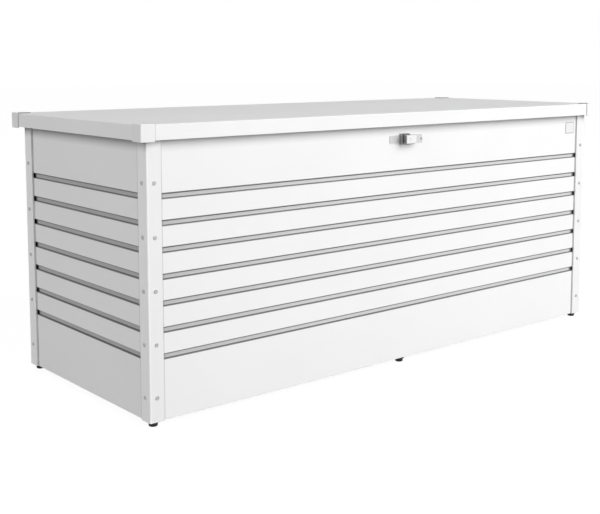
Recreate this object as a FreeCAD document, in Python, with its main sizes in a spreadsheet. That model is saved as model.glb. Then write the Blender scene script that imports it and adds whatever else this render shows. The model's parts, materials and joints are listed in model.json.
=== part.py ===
import FreeCAD, Part
import Sketcher
import math
import os

# Garden storage box: a sheet steel chest on feet, with ribbed walls between corner posts,
# and a hinged lid held by two gas struts and closed by a twist handle with a key.
# Millimetres. X runs along the front, Y from front to back, Z up, origin at the bottom centre.

doc = FreeCAD.newDocument("garden_storage_box")
sheet_object = doc.addObject("Spreadsheet::Sheet", "Sizes")

# Driving dimensions
SIZES = {
    # Cabinet over its corner posts
    "body_length": 1943.0,
    "body_depth": 739.2,
    "wall_height": 795.0,
    "foot_height": 15.0,
    # Ribbed wall panels
    "wall_sheet": 1.2,
    "panel_recess": 5.3,
    "panel_end_inset": 16.0,
    "top_flange": 20.0,
    "bottom_flange": 36.0,
    "flange_gap": 0.5,
    "groove_count": 7,
    "groove_pitch": 73.5,
    "groove_opening": 15.3,
    "groove_depth": 7.0,
    "groove_undercut": 2.5,
    "lowest_groove": 170.2,
    "groove_bend": 0.6,
    "flange_bend": 1.0,
    # Corner posts, the angles inside them and the screws through both
    "post_flange": 46.0,
    "post_sheet": 1.5,
    "post_bend": 3.5,
    "post_edge_bend": 1.0,
    "lip_gap": 0.1,
    "angle_flange": 44.0,
    "angle_sheet": 2.0,
    "screw_inset": 23.5,
    "lowest_screw": 68.5,
    "screw_count": 5,
    "screw_grooves": 2,
    "screw_shank": 2.4,
    "screw_head": 5.8,
    "screw_head_height": 2.6,
    "screw_length": 20.0,
    "screw_socket": 2.4,
    "screw_socket_depth": 1.2,
    "hole_gap": 0.3,
    "cut_margin": 1.0,
    # Rubber seal on the rim of the walls
    "seal_width": 12.0,
    "seal_height": 6.0,
    "seal_bend": 2.5,
    "seat_gap": 0.3,
    # Feet
    "foot_inset": 22.5,
    "foot_radius": 13.5,
    "foot_taper": 1.0,
    "foot_flange_radius": 17.0,
    "foot_flange_height": 3.5,
    "foot_chamfer": 1.5,
    "stud_radius": 3.0,
    "stud_end": 1.0,
    "nut_radius": 5.7,
    "nut_height": 5.0,
    # Floor trays
    "tray_count": 3,
    "tray_height": 9.0,
    "tray_sheet": 1.0,
    "tray_inset": 30.0,
    "tray_gap": 0.4,
    "channel_count": 4,
    "channel_width": 24.0,
    "channel_pitch": 160.0,
    # Lid tray
    "lid_side_overhang": 25.6,
    "lid_front_overhang": 19.5,
    "lid_rear_overhang": 25.5,
    "lid_sheet": 1.2,
    "lid_rim": 42.6,
    "rim_lip": 6.0,
    "lid_bend": 2.5,
    # Corner caps of the lid
    "cap_leg": 44.0,
    "cap_proud": 2.9,
    "cap_drop": 3.5,
    "cap_lift": 1.8,
    "cap_gap": 0.1,
    "cap_bend": 2.0,
    # Stiffening rails and ribs under the lid
    "rail_width": 36.0,
    "rail_height": 12.0,
    "rail_sheet": 1.2,
    "rail_set_out": 2.7,
    "rib_width": 60.0,
    "rib_count": 3,
    # Hinges on the back wall
    "hinge_end_inset": 271.5,
    "hinge_width": 60.0,
    "hinge_sheet": 2.0,
    "knuckle_radius": 4.5,
    "knuckle_width": 23.4,
    "knuckle_gap": 0.3,
    "pin_radius": 2.5,
    "pin_fit": 0.05,
    "hinge_stand_off": 12.0,
    "hinge_leaf_drop": 44.0,
    "hinge_leaf_rise": 30.0,
    "rivet_radius": 2.4,
    "rivet_head": 4.5,
    "rivet_head_height": 1.6,
    "rivet_tail": 3.0,
    "rivet_tail_radius": 3.5,
    "rivet_spread": 40.0,
    "leaf_hole_drop": 48.0,
    # Gas struts
    "strut_inset": 46.5,
    "strut_rear_inset": 119.2,
    "strut_foot_pitches": 7,
    "strut_head_drop": 16.0,
    "strut_tube_radius": 9.0,
    "strut_tube_wall": 1.5,
    "strut_tube_edge": 1.0,
    "strut_tube_start": 6.0,
    "strut_tube_floor": 12.0,
    "strut_end_gap": 13.0,
    "strut_gland": 9.0,
    "strut_rod_radius": 4.0,
    "piston_length": 5.0,
    "piston_gap": 0.5,
    "strut_neck": 13.0,
    "strut_neck_wall": 0.8,
    "strut_eye_radius": 8.0,
    "strut_eye_width": 10.0,
    "strut_fit": 0.05,
    "strut_pin_radius": 4.0,
    "strut_clip_rim": 2.0,
    "bracket_sheet": 2.0,
    "bracket_width": 44.0,
    "bracket_height": 40.0,
    "bracket_hat": 26.0,
    # Twist handle lock
    "lock_x": -7.0,
    "lock_drop": 67.5,
    "lock_reach": 28.0,
    "escutcheon_length": 124.0,
    "escutcheon_height": 26.0,
    "escutcheon_sheet": 2.0,
    "escutcheon_corner": 4.0,
    "collar_width": 36.0,
    "collar_reach": 15.3,
    "collar_corner": 6.0,
    "collar_edge": 1.0,
    "barrel_radius": 11.0,
    "barrel_length": 20.0,
    "lock_nut_radius": 17.0,
    "lock_nut_height": 6.0,
    "spindle_radius": 5.0,
    "spindle_fit": 0.05,
    "handle_gap": 0.3,
    "neck_radius": 13.0,
    "lever_heel": 17.0,
    "lever_length": 58.5,
    "lever_height": 27.0,
    "lever_thickness": 12.0,
    "lever_corner": 3.0,
    "lever_edge": 1.8,
    "thumb_slope_length": 31.0,
    "thumb_slope_depth": 4.0,
    "dimple_place": 51.5,
    "dimple_radius": 3.4,
    "dimple_depth": 1.5,
    "plug_radius": 5.5,
    "plug_length": 14.0,
    "plug_fit": 0.05,
    "key_slot_width": 1.2,
    "key_slot_height": 5.0,
    "key_slot_depth": 3.0,
    "cam_place": 29.5,
    "cam_sheet": 2.5,
    "cam_width": 16.0,
    "cam_reach": 60.5,
    "cam_hook_inner": 53.0,
    "cam_hook_angle": 25.0,
    "cam_hook_heel": 7.0,
    "keeper_near": 9.0,
    "keeper_far": 21.0,
    "keeper_sheet": 2.0,
    "keeper_foot": 8.0,
    "keeper_foot_rise": 46.0,
}

for row, (alias, number) in enumerate(SIZES.items(), start=1):
    sheet_object.set(f"A{row}", alias)
    sheet_object.set(f"B{row}", str(number))
    sheet_object.setAlias(f"B{row}", alias)
doc.recompute()


class Size:
    """A length as the expression that gives it and as its value, so that both stay together."""

    def __init__(self, text, value):
        self.text = text
        self.value = value

    def _join(self, sign, other, value, swap=False):
        other_text = other.text if isinstance(other, Size) else repr(float(other))
        left, right = (other_text, self.text) if swap else (self.text, other_text)
        return Size(f"({left} {sign} {right})", value)

    def __add__(self, other):
        return self._join("+", other, self.value + number_of(other))

    def __radd__(self, other):
        return self._join("+", other, number_of(other) + self.value, swap=True)

    def __sub__(self, other):
        return self._join("-", other, self.value - number_of(other))

    def __rsub__(self, other):
        return self._join("-", other, number_of(other) - self.value, swap=True)

    def __mul__(self, other):
        return self._join("*", other, self.value * number_of(other))

    def __rmul__(self, other):
        return self._join("*", other, number_of(other) * self.value, swap=True)

    def __truediv__(self, other):
        return self._join("/", other, self.value / number_of(other))

    def __neg__(self):
        return Size(f"(0 - {self.text})", -self.value)


class Sheet:
    """Reads a size from the spreadsheet by its alias."""

    def __getattr__(self, alias):
        return Size(f"Sizes.{alias}", float(sheet_object.get(alias)))


def number_of(size):
    return size.value if isinstance(size, Size) else float(size)


def bind(thing, path, size):
    """Binds a property of a document object to a size."""
    if isinstance(size, Size):
        thing.setExpression(path, size.text)
    else:
        thing.setExpression(path, repr(float(size)))


s = Sheet()
sub_parts = []
Vector = FreeCAD.Vector


# Building blocks

def new_body(label, x=0.0, y=0.0, z=0.0, turn=0.0, keep=True):
    """A body at a place given by sizes, turned about the vertical axis."""
    body = doc.addObject("PartDesign::Body", label)
    body.Label = label
    body.Placement = FreeCAD.Placement(
        Vector(number_of(x), number_of(y), number_of(z)),
        FreeCAD.Rotation(Vector(0, 0, 1), turn),
    )
    bind(body, "Placement.Base.x", x)
    bind(body, "Placement.Base.y", y)
    bind(body, "Placement.Base.z", z)
    if keep:
        sub_parts.append(body)
    return body


def origin_part(body, role):
    return next(part for part in body.Origin.OriginFeatures if part.Role == role)


def new_sketch(body, plane, offset=0.0):
    """A sketch on one of the body's origin planes, moved along the plane's normal."""
    sketch = body.newObject("Sketcher::SketchObject", body.Name + "_sketch")
    sketch.AttachmentSupport = (origin_part(body, plane), [""])
    sketch.MapMode = "FlatFace"
    sketch.AttachmentOffset = FreeCAD.Placement(Vector(0, 0, number_of(offset)), FreeCAD.Rotation())
    if isinstance(offset, Size):
        bind(sketch, "AttachmentOffset.Base.z", offset)
    return sketch


def place_point(sketch, geometry, end, x, y):
    """Fixes a point of the sketch at a place given by two sizes."""
    for kind, size in (("DistanceX", x), ("DistanceY", y)):
        index = sketch.addConstraint(Sketcher.Constraint(kind, -1, 1, geometry, end, number_of(size)))
        if isinstance(size, Size):
            bind(sketch, f"Constraints[{index}]", size)


def draw_outline(sketch, points):
    """A closed outline of straight lines through points, each a pair of sizes."""
    first = sketch.GeometryCount
    count = len(points)
    for i in range(count):
        start = points[i]
        end = points[(i + 1) % count]
        sketch.addGeometry(
            Part.LineSegment(
                Vector(number_of(start[0]), number_of(start[1]), 0),
                Vector(number_of(end[0]), number_of(end[1]), 0),
            ),
            False,
        )
    for i in range(count):
        sketch.addConstraint(
            Sketcher.Constraint("Coincident", first + i, 2, first + (i + 1) % count, 1)
        )
    for i, (x, y) in enumerate(points):
        place_point(sketch, first + i, 1, x, y)
    return sketch


def draw_rectangle(sketch, x0, y0, x1, y1):
    return draw_outline(sketch, [(x0, y0), (x1, y0), (x1, y1), (x0, y1)])


def draw_circle(sketch, x, y, radius):
    """A circle with its centre and radius given by sizes."""
    circle = Part.Circle(Vector(number_of(x), number_of(y), 0), Vector(0, 0, 1), number_of(radius))
    index = sketch.addGeometry(circle, False)
    place_point(sketch, index, 3, x, y)
    constraint = sketch.addConstraint(Sketcher.Constraint("Radius", index, number_of(radius)))
    bind(sketch, f"Constraints[{constraint}]", radius)
    return sketch


def extrude(kind, body, sketch, length, reverse=False, middle=False):
    feature = body.newObject("PartDesign::" + kind, f"{body.Name}_{kind.lower()}")
    feature.Profile = sketch
    feature.Length = number_of(length)
    bind(feature, "Length", length)
    feature.Reversed = reverse
    if middle:
        feature.SideType = "Symmetric"
    return feature


def pad(body, sketch, length, reverse=False, middle=False):
    return extrude("Pad", body, sketch, length, reverse, middle)


def pocket(body, sketch, length, reverse=False, middle=False):
    """Cuts the sketch out, and stops the build if nothing was cut."""
    doc.recompute()
    before = body.Shape.Volume
    feature = extrude("Pocket", body, sketch, length, reverse, middle)
    doc.recompute()
    if body.Shape.Volume > before - 1e-3:
        raise RuntimeError(f"a pocket of {body.Label} cuts nothing")
    return feature


def revolve(body, sketch, axis):
    feature = body.newObject("PartDesign::Revolution", body.Name + "_revolution")
    feature.Profile = sketch
    feature.ReferenceAxis = (origin_part(body, axis), [""])
    feature.Angle = 360.0
    return feature


def repeat(body, features, axis, pitch, count):
    """Repeats features along an origin axis of the body."""
    pattern = body.newObject("PartDesign::LinearPattern", body.Name + "_pattern")
    pattern.Originals = features
    pattern.Direction = (origin_part(body, axis), [""])
    pattern.Length = number_of(pitch) * (number_of(count) - 1)
    pattern.Occurrences = int(number_of(count))
    bind(pattern, "Length", pitch * (count - 1))
    bind(pattern, "Occurrences", count)
    body.Tip = pattern
    return pattern


def round_edges(body, radius, chosen):
    """Rounds the edges for which chosen(edge) is true."""
    doc.recompute()
    base = body.Tip
    names = [f"Edge{i}" for i, edge in enumerate(base.Shape.Edges, start=1) if chosen(edge)]
    if not names:
        raise RuntimeError(f"no edge of {body.Label} was found to round")
    feature = body.newObject("PartDesign::Fillet", body.Name + "_fillet")
    feature.Base = (base, names)
    feature.Radius = number_of(radius)
    bind(feature, "Radius", radius)
    body.Tip = feature
    return feature


def middle_of(edge):
    return edge.BoundBox.Center


def runs_along(edge, axis):
    """True if a straight edge runs along the axis, 0 to 2 for X to Z."""
    box = edge.BoundBox
    spans = [box.XLength, box.YLength, box.ZLength]
    others = [span for i, span in enumerate(spans) if i != axis]
    return spans[axis] > 1e-3 and max(others) < 1e-4


def near(value, size):
    return abs(value - number_of(size)) < 1e-3


def group(label, shapes):
    """One sub-part made of several like solids."""
    feature = doc.addObject("Part::Feature", label)
    feature.Label = label
    feature.Shape = Part.makeCompound(shapes)
    sub_parts.append(feature)
    return feature


def placed(shape, x, y, z, rotation=FreeCAD.Rotation()):
    copy = shape.copy()
    copy.Placement = FreeCAD.Placement(Vector(x, y, z), rotation)
    return copy


# Shared places, all worked out from the driving dimensions

rear_reach = s.lid_rear_overhang + s.cap_proud
front_y = (s.lock_reach - s.body_depth - rear_reach) / 2
rear_y = front_y + s.body_depth
side_x = s.body_length / 2
base_z = s.foot_height
wall_top = base_z + s.wall_height
groove_back = s.panel_recess + s.groove_depth + s.wall_sheet
lid_under = wall_top + s.seal_height + s.seat_gap + s.rail_height
lid_top = lid_under + s.lid_sheet
rim_bottom = lid_top - s.lid_rim
pivot_y = rear_y + s.hinge_stand_off
pivot_z = rim_bottom + s.lid_sheet + s.seat_gap + s.hinge_sheet - s.knuckle_radius
screw_pitch = s.screw_grooves * s.groove_pitch
hole_radius = s.screw_shank + s.hole_gap
lock_height = s.wall_height - s.lock_drop
lock_z = base_z + lock_height
hinge_pitch = side_x - s.hinge_end_inset
rib_pitch = s.body_length / (s.rib_count + 1)
leaf_hole_height = s.wall_height - s.leaf_hole_drop
slat_y = front_y + s.panel_recess
CORNERS = {
    "front_left": (-side_x, front_y, 0),
    "front_right": (side_x, front_y, 90),
    "rear_right": (side_x, rear_y, 180),
    "rear_left": (-side_x, rear_y, 270),
}
SIDES = {"left": -1, "right": 1}
HINGES = {"left": -1, "middle": 0, "right": 1}


# Wall panels: one roll-formed sheet each, flanged inwards at top and bottom

def wall_panel(label, span, x, y, turn, notched):
    """A panel whose outer face is its own plane y = 0, with its grooves pushed inwards."""
    body = new_body(label, x, y, base_z, turn)
    length = span - 2 * s.panel_end_inset
    t = s.wall_sheet
    section = new_sketch(body, "YZ_Plane")
    draw_outline(
        section,
        [
            (0, 0),
            (s.bottom_flange, 0),
            (s.bottom_flange, t),
            (t, t),
            (t, s.wall_height - t),
            (s.top_flange, s.wall_height - t),
            (s.top_flange, s.wall_height),
            (0, s.wall_height),
        ],
    )
    pad(body, section, length, middle=True)
    low_lip = s.lowest_groove
    high_lip = low_lip + s.groove_opening
    low_side = low_lip - s.groove_undercut
    high_side = high_lip + s.groove_undercut
    shell_sketch = new_sketch(body, "YZ_Plane")
    draw_rectangle(shell_sketch, 0, low_side - t, s.groove_depth + t, high_side + t)
    shell = pad(body, shell_sketch, length, middle=True)
    channel_sketch = new_sketch(body, "YZ_Plane")
    draw_outline(
        channel_sketch,
        [
            (0, low_lip),
            (t, low_lip),
            (t, low_side),
            (s.groove_depth, low_side),
            (s.groove_depth, high_side),
            (t, high_side),
            (t, high_lip),
            (0, high_lip),
        ],
    )
    channel = pocket(body, channel_sketch, length, middle=True)
    repeat(body, [shell, channel], "Z_Axis", s.groove_pitch, s.groove_count)

    def lip_edge(edge):
        centre = middle_of(edge)
        inside = t.value < centre.z < s.wall_height.value - t.value
        return runs_along(edge, 0) and inside and near(centre.y, 0)

    round_edges(body, s.groove_bend, lip_edge)
    round_edges(
        body,
        s.flange_bend,
        lambda edge: runs_along(edge, 0) and near(middle_of(edge).y, 0)
        and (near(middle_of(edge).z, 0) or near(middle_of(edge).z, s.wall_height)),
    )
    if notched:
        notch = s.panel_recess + s.bottom_flange + s.flange_gap - s.panel_end_inset
        notch_sketch = new_sketch(body, "XY_Plane")
        for side in (-1, 1):
            draw_rectangle(
                notch_sketch,
                side * (length / 2 - notch),
                s.groove_depth + t,
                side * length / 2,
                s.bottom_flange,
            )
        pocket(body, notch_sketch, s.wall_height, reverse=True)
    holes = new_sketch(body, "XZ_Plane")
    for side in (-1, 1):
        draw_circle(holes, side * (span / 2 - s.screw_inset), s.lowest_screw, hole_radius)
    hole_pair = pocket(body, holes, 2 * t)
    repeat(body, [hole_pair], "Z_Axis", screw_pitch, s.screw_count)
    return body


def foot_holes(body):
    """Holes for the feet's studs in a long panel's bottom flange."""
    sketch = new_sketch(body, "XY_Plane")
    for place in (-(side_x - s.foot_inset), s.body_length * 0, side_x - s.foot_inset):
        draw_circle(sketch, place, s.foot_inset - s.panel_recess, s.stud_radius + s.hole_gap)
    pocket(body, sketch, 2 * s.wall_sheet, middle=True)


front_panel = wall_panel("front_panel", s.body_length, 0, slat_y, 0, False)
foot_holes(front_panel)
lock_hole = new_sketch(front_panel, "XZ_Plane")
draw_circle(lock_hole, s.lock_x, lock_height, s.barrel_radius + s.hole_gap)
pocket(front_panel, lock_hole, 2 * s.wall_sheet)

rear_panel = wall_panel("rear_panel", s.body_length, 0, rear_y - s.panel_recess, 180, False)
foot_holes(rear_panel)
leaf_holes = new_sketch(rear_panel, "XZ_Plane")
for hinge in HINGES.values():
    for side in (-1, 1):
        draw_circle(
            leaf_holes,
            hinge * hinge_pitch + side * s.rivet_spread / 2,
            leaf_hole_height,
            s.rivet_radius + s.hole_gap,
        )
pocket(rear_panel, leaf_holes, 2 * s.wall_sheet)

middle_y = front_y + s.body_depth / 2
wall_panel("left_panel", s.body_depth, -(side_x - s.panel_recess), middle_y, 270, True)
wall_panel("right_panel", s.body_depth, side_x - s.panel_recess, middle_y, 90, True)


# Corner posts: folded angles that stand proud of the panels and cover their ends

def corner_post(label, x, y, turn):
    body = new_body(label, x, y, base_z, turn)
    flange = s.post_flange
    t = s.post_sheet
    lip = s.panel_recess - s.lip_gap
    section = new_sketch(body, "XY_Plane")
    draw_outline(
        section,
        [
            (0, 0),
            (flange, 0),
            (flange, lip),
            (flange - t, lip),
            (flange - t, t),
            (t, t),
            (t, flange - t),
            (lip, flange - t),
            (lip, flange),
            (0, flange),
        ],
    )
    pad(body, section, s.wall_height)

    def at(edge, u, v):
        return runs_along(edge, 2) and near(middle_of(edge).x, u) and near(middle_of(edge).y, v)

    round_edges(body, s.post_bend, lambda edge: at(edge, 0, 0))
    round_edges(body, s.post_bend - t, lambda edge: at(edge, t, t))
    round_edges(body, s.post_edge_bend, lambda edge: at(edge, flange, 0) or at(edge, 0, flange))
    for plane, reverse in (("XZ_Plane", False), ("YZ_Plane", True)):
        hole_sketch = new_sketch(body, plane)
        draw_circle(hole_sketch, s.screw_inset, s.lowest_screw, hole_radius)
        hole = pocket(body, hole_sketch, 2 * t, reverse=reverse)
        repeat(body, [hole], "Z_Axis", screw_pitch, s.screw_count)
    return body


def corner_angle():
    """The angle inside a corner: it lies on the backs of the grooves and takes the screws."""
    body = new_body("corner_angle_pattern", keep=False)
    near_face = groove_back
    far_face = near_face + s.angle_sheet
    end = near_face + s.angle_flange
    section = new_sketch(body, "XY_Plane")
    draw_outline(
        section,
        [
            (near_face, near_face),
            (end, near_face),
            (end, far_face),
            (far_face, far_face),
            (far_face, end),
            (near_face, end),
        ],
    )
    pad(body, section, s.wall_height - 2 * (s.wall_sheet + s.flange_gap))
    height = s.lowest_screw - s.wall_sheet - s.flange_gap
    for plane, reverse in (("XZ_Plane", False), ("YZ_Plane", True)):
        hole_sketch = new_sketch(body, plane)
        draw_circle(hole_sketch, s.screw_inset, height, hole_radius)
        hole = pocket(body, hole_sketch, 2 * far_face, reverse=reverse)
        repeat(body, [hole], "Z_Axis", screw_pitch, s.screw_count)
    doc.recompute()
    return body.Shape


def master(label, axis_profile, socket=None):
    """A turned fastener, head outwards along -Y, used as the pattern for its copies."""
    body = new_body(label, keep=False)
    sketch = new_sketch(body, "XY_Plane")
    draw_outline(sketch, axis_profile)
    revolve(body, sketch, "Y_Axis")
    if socket:
        radius, start, depth = socket
        socket_sketch = new_sketch(body, "XZ_Plane", start)
        draw_circle(socket_sketch, 0, 0, radius)
        pocket(body, socket_sketch, depth)
    doc.recompute()
    return body.Shape


for corner, (corner_x, corner_y, corner_turn) in CORNERS.items():
    corner_post("post_" + corner, corner_x, corner_y, corner_turn)

about_z = Vector(0, 0, 1)
angle_shape = corner_angle()
group(
    "corner_angles",
    [
        placed(
            angle_shape,
            corner_x.value,
            corner_y.value,
            (base_z + s.wall_sheet + s.flange_gap).value,
            FreeCAD.Rotation(about_z, corner_turn),
        )
        for corner_x, corner_y, corner_turn in CORNERS.values()
    ],
)

head = s.screw_head_height
post_screw = master(
    "post_screw_pattern",
    [
        (0, -head),
        (s.screw_head - head / 2, -head),
        (s.screw_head, -head / 2),
        (s.screw_head, 0),
        (s.screw_shank, 0),
        (s.screw_shank, s.screw_length),
        (0, s.screw_length),
    ],
    (s.screw_socket, head, s.screw_socket_depth),
)
corner_screws = []
for corner_x, corner_y, corner_turn in CORNERS.values():
    for i in range(int(s.screw_count.value)):
        z = (base_z + s.lowest_screw + i * screw_pitch).value
        for face_turn, along in ((0, (s.screw_inset.value, 0)), (-90, (0, s.screw_inset.value))):
            turned = FreeCAD.Rotation(about_z, corner_turn).multVec(Vector(*along, 0))
            corner_screws.append(
                placed(
                    post_screw,
                    corner_x.value + turned.x,
                    corner_y.value + turned.y,
                    z,
                    FreeCAD.Rotation(about_z, corner_turn + face_turn),
                )
            )
group("post_screws", corner_screws)


# Seal on the rim of the walls

seal = new_body("wall_seal", 0, front_y, wall_top)
seal_sketch = new_sketch(seal, "XY_Plane")
seal_inset = s.panel_recess + (s.top_flange - s.seal_width) / 2
for extra in (s.seal_width * 0, s.seal_width):
    draw_rectangle(
        seal_sketch,
        -(side_x - seal_inset - extra),
        seal_inset + extra,
        side_x - seal_inset - extra,
        s.body_depth - seal_inset - extra,
    )
pad(seal, seal_sketch, s.seal_height)
round_edges(seal, s.seal_bend, lambda edge: near(edge.BoundBox.ZMin, s.seal_height))


# Feet: moulded glides under the bottom flanges, each held by a stud and a nut

def foot(label, x, y):
    body = new_body(label, x, y, 0)
    sketch = new_sketch(body, "XZ_Plane")
    shoulder = s.foot_height - s.foot_flange_height
    top = s.foot_height + s.wall_sheet + s.nut_height + s.stud_end
    draw_outline(
        sketch,
        [
            (0, 0),
            (s.foot_radius - s.foot_taper - s.foot_chamfer, 0),
            (s.foot_radius - s.foot_taper, s.foot_chamfer),
            (s.foot_radius, shoulder),
            (s.foot_flange_radius, shoulder),
            (s.foot_flange_radius, s.foot_height),
            (s.stud_radius, s.foot_height),
            (s.stud_radius, top),
            (0, top),
        ],
    )
    revolve(body, sketch, "Z_Axis")
    return body


def hexagon(sketch, radius):
    """A hexagon about the sketch's origin, with its corners on the radius."""
    half = radius / 2
    flat = radius * (math.sqrt(3) / 2)
    draw_outline(
        sketch,
        [(radius, 0), (half, flat), (-half, flat), (-radius, 0), (-half, -flat), (half, -flat)],
    )


nut = new_body("foot_nut_pattern", keep=False)
nut_sketch = new_sketch(nut, "XY_Plane")
hexagon(nut_sketch, s.nut_radius)
draw_circle(nut_sketch, 0, 0, s.stud_radius + s.lip_gap)
pad(nut, nut_sketch, s.nut_height)
doc.recompute()

FOOT_PLACES = {
    "front_left": (-(side_x - s.foot_inset), front_y + s.foot_inset),
    "front_middle": (s.body_length * 0, front_y + s.foot_inset),
    "front_right": (side_x - s.foot_inset, front_y + s.foot_inset),
    "rear_left": (-(side_x - s.foot_inset), rear_y - s.foot_inset),
    "rear_middle": (s.body_length * 0, rear_y - s.foot_inset),
    "rear_right": (side_x - s.foot_inset, rear_y - s.foot_inset),
}
for place, (foot_x, foot_y) in FOOT_PLACES.items():
    foot("foot_" + place, foot_x, foot_y)
group(
    "foot_nuts",
    [
        placed(nut.Shape, foot_x.value, foot_y.value, (base_z + s.wall_sheet).value)
        for foot_x, foot_y in FOOT_PLACES.values()
    ],
)


# Floor trays: folded sheets with stiffening channels, laid on the bottom flanges

tray_room = s.body_length - 2 * s.tray_inset
tray_width = tray_room / s.tray_count - s.tray_gap
for i in range(int(s.tray_count.value)):
    tray_x = (i + 0.5) * tray_room / s.tray_count - tray_room / 2
    tray = new_body(f"floor_tray_{i + 1}", tray_x, middle_y, base_z + s.wall_sheet)
    t = s.tray_sheet
    top = s.tray_height
    depth = s.body_depth - 2 * (groove_back + s.angle_sheet + s.flange_gap)
    edge_x = tray_width / 2
    section = new_sketch(tray, "XZ_Plane")
    draw_outline(
        section,
        [
            (-edge_x, 0),
            (-edge_x, top),
            (edge_x, top),
            (edge_x, 0),
            (edge_x - t, 0),
            (edge_x - t, top - t),
            (t - edge_x, top - t),
            (t - edge_x, 0),
        ],
    )
    pad(tray, section, depth, middle=True)
    first_x = -(s.channel_count - 1) * s.channel_pitch / 2
    half = s.channel_width / 2
    shell_sketch = new_sketch(tray, "XZ_Plane")
    draw_rectangle(shell_sketch, first_x - half - t, 0, first_x + half + t, top)
    shell = pad(tray, shell_sketch, depth, middle=True)
    channel_sketch = new_sketch(tray, "XZ_Plane")
    draw_rectangle(channel_sketch, first_x - half, t, first_x + half, top)
    channel = pocket(tray, channel_sketch, depth, middle=True)
    repeat(tray, [shell, channel], "X_Axis", s.channel_pitch, s.channel_count)


# Lid tray: a flat top with a turned-down rim and a small lip

skin = new_body("lid_skin", 0, 0, rim_bottom)
skin_x = side_x + s.lid_side_overhang
skin_front = front_y - s.lid_front_overhang
skin_rear = rear_y + s.lid_rear_overhang


def lid_rectangle(plane_offset, inset):
    sketch = new_sketch(skin, "XY_Plane", plane_offset)
    return draw_rectangle(sketch, inset - skin_x, skin_front + inset, skin_x - inset, skin_rear - inset)


pad(skin, lid_rectangle(0.0, s.lid_sheet * 0), s.lid_rim)
pocket(skin, lid_rectangle(0.0, s.lid_sheet + s.rim_lip), s.lid_sheet * 2, reverse=True)
pocket(skin, lid_rectangle(s.lid_sheet, s.lid_sheet), s.lid_rim - 2 * s.lid_sheet, reverse=True)
round_edges(
    skin,
    s.lid_bend,
    lambda edge: near(edge.BoundBox.ZMin, s.lid_rim),
)
notch_size = s.cap_leg - s.cap_proud + s.seat_gap
cap_notches = new_sketch(skin, "XY_Plane", s.lid_rim - s.lid_sheet)
for x_sign in (-1, 1):
    for y_edge, y_sign in ((skin_front, 1), (skin_rear, -1)):
        draw_rectangle(
            cap_notches,
            x_sign * (skin_x - notch_size),
            y_edge + y_sign * notch_size,
            x_sign * (skin_x + s.cut_margin),
            y_edge - y_sign * s.cut_margin,
        )
pocket(skin, cap_notches, s.lid_sheet * 2, reverse=True)


# Corner caps: three-sided shells over the corners of the lid

def corner_cap(label, x, y, turn):
    body = new_body(label, x, y, rim_bottom, turn)
    end = s.cap_leg - s.cap_proud
    height = s.lid_rim + s.cap_drop + s.cap_lift
    block = new_sketch(body, "XY_Plane", -s.cap_drop)
    draw_rectangle(block, -s.cap_proud, -s.cap_proud, end, end)
    pad(body, block, height)
    hollow = new_sketch(body, "XY_Plane", -s.cap_drop)
    draw_rectangle(hollow, -s.cap_gap, -s.cap_gap, end, end)
    plate = s.lid_sheet + s.cap_lift - s.cap_gap
    pocket(body, hollow, height - plate, reverse=True)
    round_edges(
        body,
        s.cap_bend,
        lambda edge: runs_along(edge, 2)
        and near(middle_of(edge).x, -s.cap_proud)
        and near(middle_of(edge).y, -s.cap_proud),
    )
    top = s.lid_rim + s.cap_lift

    def outer_top(edge):
        centre = middle_of(edge)
        outside = edge.BoundBox.XMin < -s.cap_proud.value + 0.01 or edge.BoundBox.YMin < -s.cap_proud.value + 0.01
        inner_side = near(centre.x, end) or near(centre.y, end)
        return near(edge.BoundBox.ZMin, top) and outside and not inner_side

    round_edges(body, s.cap_bend / 2, outer_top)
    return body


LID_CORNERS = {
    "front_left": (-skin_x, skin_front, 0),
    "front_right": (skin_x, skin_front, 90),
    "rear_right": (skin_x, skin_rear, 180),
    "rear_left": (-skin_x, skin_rear, 270),
}
for corner, (corner_x, corner_y, corner_turn) in LID_CORNERS.items():
    corner_cap("lid_cap_" + corner, corner_x, corner_y, corner_turn)


# Rails and ribs under the lid: channels welded to the tray, which rest on the seal

def channel_bar(label, x, y, turn, width, length):
    """An open channel along its own X axis, with its web down."""
    body = new_body(label, x, y, lid_under - s.rail_height, turn)
    half = width / 2
    t = s.rail_sheet
    section = new_sketch(body, "YZ_Plane")
    draw_outline(
        section,
        [
            (-half, s.rail_height),
            (-half, 0),
            (half, 0),
            (half, s.rail_height),
            (half - t, s.rail_height),
            (half - t, t),
            (t - half, t),
            (t - half, s.rail_height),
        ],
    )
    pad(body, section, length, middle=True)
    return body


rail_middle = s.rail_width / 2 - s.rail_set_out
rail_inner = s.rail_width - s.rail_set_out
long_rail = s.body_length + 2 * s.rail_set_out
channel_bar("lid_rail_front", 0, front_y + rail_middle, 0, s.rail_width, long_rail)
channel_bar("lid_rail_rear", 0, rear_y - rail_middle, 0, s.rail_width, long_rail)
cross_length = s.body_depth - 2 * rail_inner - 2 * s.seat_gap
rib_length = cross_length - 2 * s.keeper_sheet
for side, sign in SIDES.items():
    rail_x = sign * (side_x - rail_middle)
    channel_bar("lid_rail_" + side, rail_x, middle_y, 90, s.rail_width, cross_length)
for i, name in enumerate(("left", "middle", "right")):
    channel_bar("lid_rib_" + name, (i - 1) * rib_pitch, middle_y, 90, s.rib_width, rib_length)


# Hinges: a leaf on the back wall, a leaf inside the lid's rim, and the pin between them

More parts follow.
